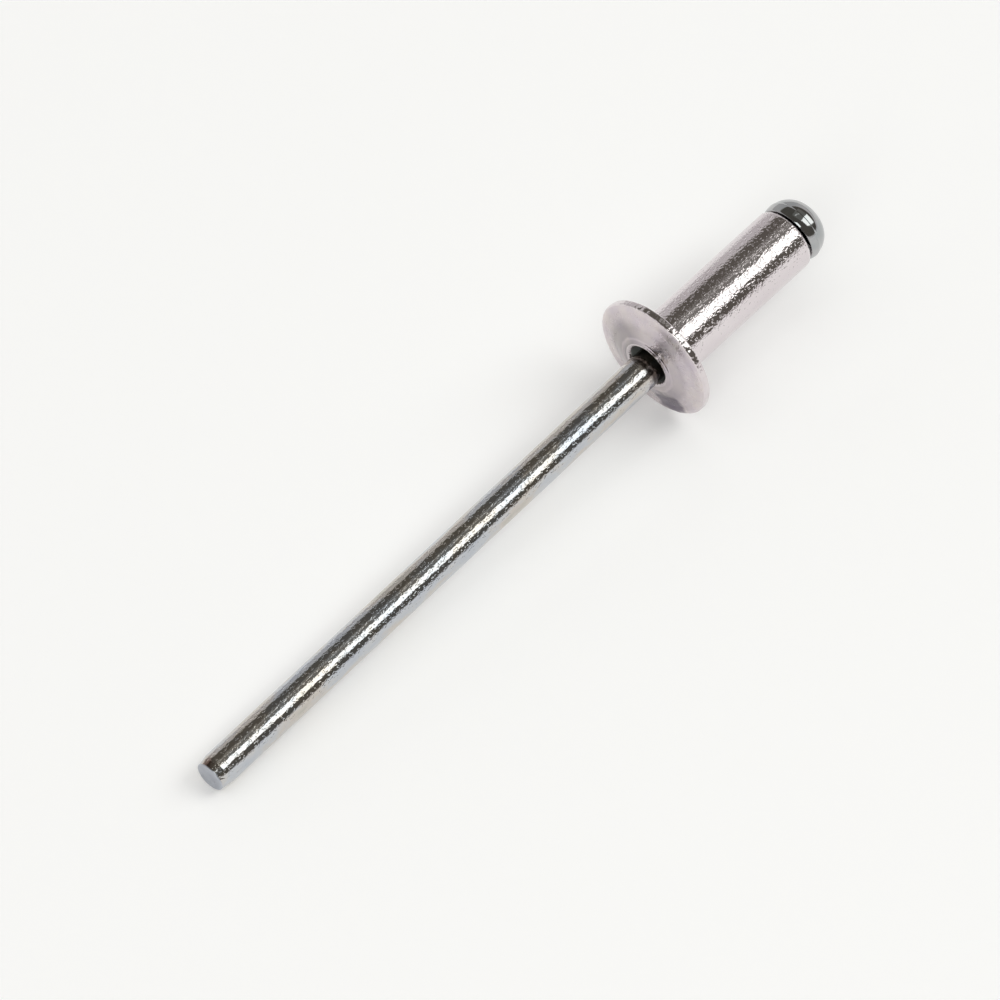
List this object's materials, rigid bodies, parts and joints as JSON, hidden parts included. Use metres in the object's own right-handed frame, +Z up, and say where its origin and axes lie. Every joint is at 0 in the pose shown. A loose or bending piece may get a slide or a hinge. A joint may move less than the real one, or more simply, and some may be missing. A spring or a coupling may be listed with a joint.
{
  "type": "pop rivet",
  "caption": "Unset domed blind rivet: hollow aluminium shank with a thin domed flange on a long zinc-plated steel mandrel with a round head.",
  "frame": {"origin": "on the floor under the middle of the lying rivet's box", "axes": "+X along the rivet from the stem's tip to the blind head, level with the floor; +Z up from the floor"},
  "size_m": [0.0406, 0.0064, 0.0064],
  "materials": {
    "body": "satin",
    "mandrel": "bright zinc plate"
  },
  "bodies": {
    "root": {"rivet_body": "body", "mandrel": "mandrel"}
  },
  "joints": []
}
